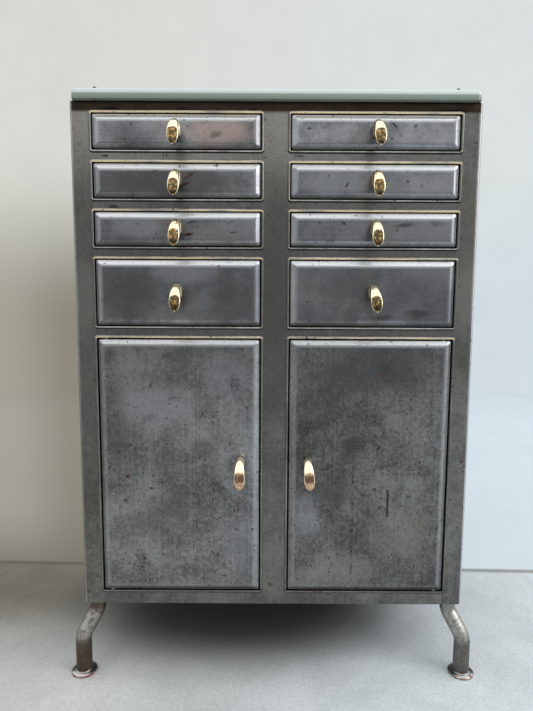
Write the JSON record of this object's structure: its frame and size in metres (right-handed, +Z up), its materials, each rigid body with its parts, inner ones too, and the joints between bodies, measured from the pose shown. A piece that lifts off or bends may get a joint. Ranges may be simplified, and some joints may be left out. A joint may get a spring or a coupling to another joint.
{
  "type": "drawer cabinet",
  "caption": "Free-standing steel cabinet with shallow and deep drawers over two hinged doors, brass hook pulls, a glass top and splayed tube legs.",
  "frame": {"origin": "middle of the footprint, on the floor", "axes": "+Z up, +X to the right seen from the front, the front faces -Y"},
  "size_m": [0.7542, 0.4363, 1.055],
  "materials": {
    "body_steel": "bare steel, mottled, worn edges",
    "front_steel": "bare steel, brushed, mottled",
    "bead_steel": "bare steel, polished by wear",
    "inner_steel": "bare steel, dull",
    "bright_steel": "turned steel",
    "leg_steel": "bare steel with rust patches",
    "foot_steel": "bright steel with old red paint left at the rim",
    "brass": "polished cast brass",
    "glass": "pale green glass, polished edges",
    "dark_screws": "blackened steel"
  },
  "bodies": {
    "cabinet": {"side_panel_left": "body_steel", "side_panel_right": "body_steel", "back_panel": "body_steel", "top_deck": "inner_steel", "floor_sheet": "inner_steel", "dust_sheets": "inner_steel", "centre_partition": "inner_steel", "stile_centre": "body_steel", "rail_top": "body_steel", "rail_bottom": "body_steel", "cross_rails": "body_steel", "opening_beads": "bead_steel", "runners_left": "inner_steel", "runners_right": "inner_steel", "shelf_left": "inner_steel", "shelf_right": "inner_steel", "shelf_cleats": "inner_steel", "hinge_lugs": "bright_steel", "door_catches": "bright_steel", "leg_gussets": "inner_steel", "foot_discs": "foot_steel", "glass_top": "glass", "top_cap_screws": "dark_screws", "leg_front_left": "leg_steel", "leg_front_right": "leg_steel", "leg_rear_left": "leg_steel", "leg_rear_right": "leg_steel"},
    "drawer_left_1": {"drawer_left_1_box": "inner_steel", "drawer_left_1_front": "front_steel", "drawer_left_1_pull": "brass"},
    "drawer_left_2": {"drawer_left_2_box": "inner_steel", "drawer_left_2_front": "front_steel", "drawer_left_2_pull": "brass"},
    "drawer_left_3": {"drawer_left_3_box": "inner_steel", "drawer_left_3_front": "front_steel", "drawer_left_3_pull": "brass"},
    "drawer_left_4": {"drawer_left_4_box": "inner_steel", "drawer_left_4_front": "front_steel", "drawer_left_4_pull": "brass"},
    "door_left": {"door_left_skin": "front_steel", "door_left_liner": "inner_steel", "door_left_pull": "brass", "door_left_pins": "bright_steel"},
    "drawer_right_1": {"drawer_right_1_box": "inner_steel", "drawer_right_1_front": "front_steel", "drawer_right_1_pull": "brass"},
    "drawer_right_2": {"drawer_right_2_box": "inner_steel", "drawer_right_2_front": "front_steel", "drawer_right_2_pull": "brass"},
    "drawer_right_3": {"drawer_right_3_box": "inner_steel", "drawer_right_3_front": "front_steel", "drawer_right_3_pull": "brass"},
    "drawer_right_4": {"drawer_right_4_box": "inner_steel", "drawer_right_4_front": "front_steel", "drawer_right_4_pull": "brass"},
    "door_right": {"door_right_skin": "front_steel", "door_right_liner": "inner_steel", "door_right_pull": "brass", "door_right_pins": "bright_steel"}
  },
  "joints": [
    {"name": "drawer_left_1_slide", "type": "slide", "parent": "cabinet", "child": "drawer_left_1", "axis": [0, -1, 0], "range_m": [0, 0.26]},
    {"name": "drawer_left_2_slide", "type": "slide", "parent": "cabinet", "child": "drawer_left_2", "axis": [0, -1, 0], "range_m": [0, 0.26]},
    {"name": "drawer_left_3_slide", "type": "slide", "parent": "cabinet", "child": "drawer_left_3", "axis": [0, -1, 0], "range_m": [0, 0.26]},
    {"name": "drawer_left_4_slide", "type": "slide", "parent": "cabinet", "child": "drawer_left_4", "axis": [0, -1, 0], "range_m": [0, 0.26]},
    {"name": "door_left_hinge", "type": "hinge", "parent": "cabinet", "child": "door_left", "pos_m": [-0.3, -0.16794, 0.39175], "axis": [0, 0, -1], "range_deg": [0, 95]},
    {"name": "drawer_right_1_slide", "type": "slide", "parent": "cabinet", "child": "drawer_right_1", "axis": [0, -1, 0], "range_m": [0, 0.26]},
    {"name": "drawer_right_2_slide", "type": "slide", "parent": "cabinet", "child": "drawer_right_2", "axis": [0, -1, 0], "range_m": [0, 0.26]},
    {"name": "drawer_right_3_slide", "type": "slide", "parent": "cabinet", "child": "drawer_right_3", "axis": [0, -1, 0], "range_m": [0, 0.26]},
    {"name": "drawer_right_4_slide", "type": "slide", "parent": "cabinet", "child": "drawer_right_4", "axis": [0, -1, 0], "range_m": [0, 0.26]},
    {"name": "door_right_hinge", "type": "hinge", "parent": "cabinet", "child": "door_right", "pos_m": [0.3, -0.16794, 0.39175], "axis": [0, 0, 1], "range_deg": [0, 95]}
  ]
}
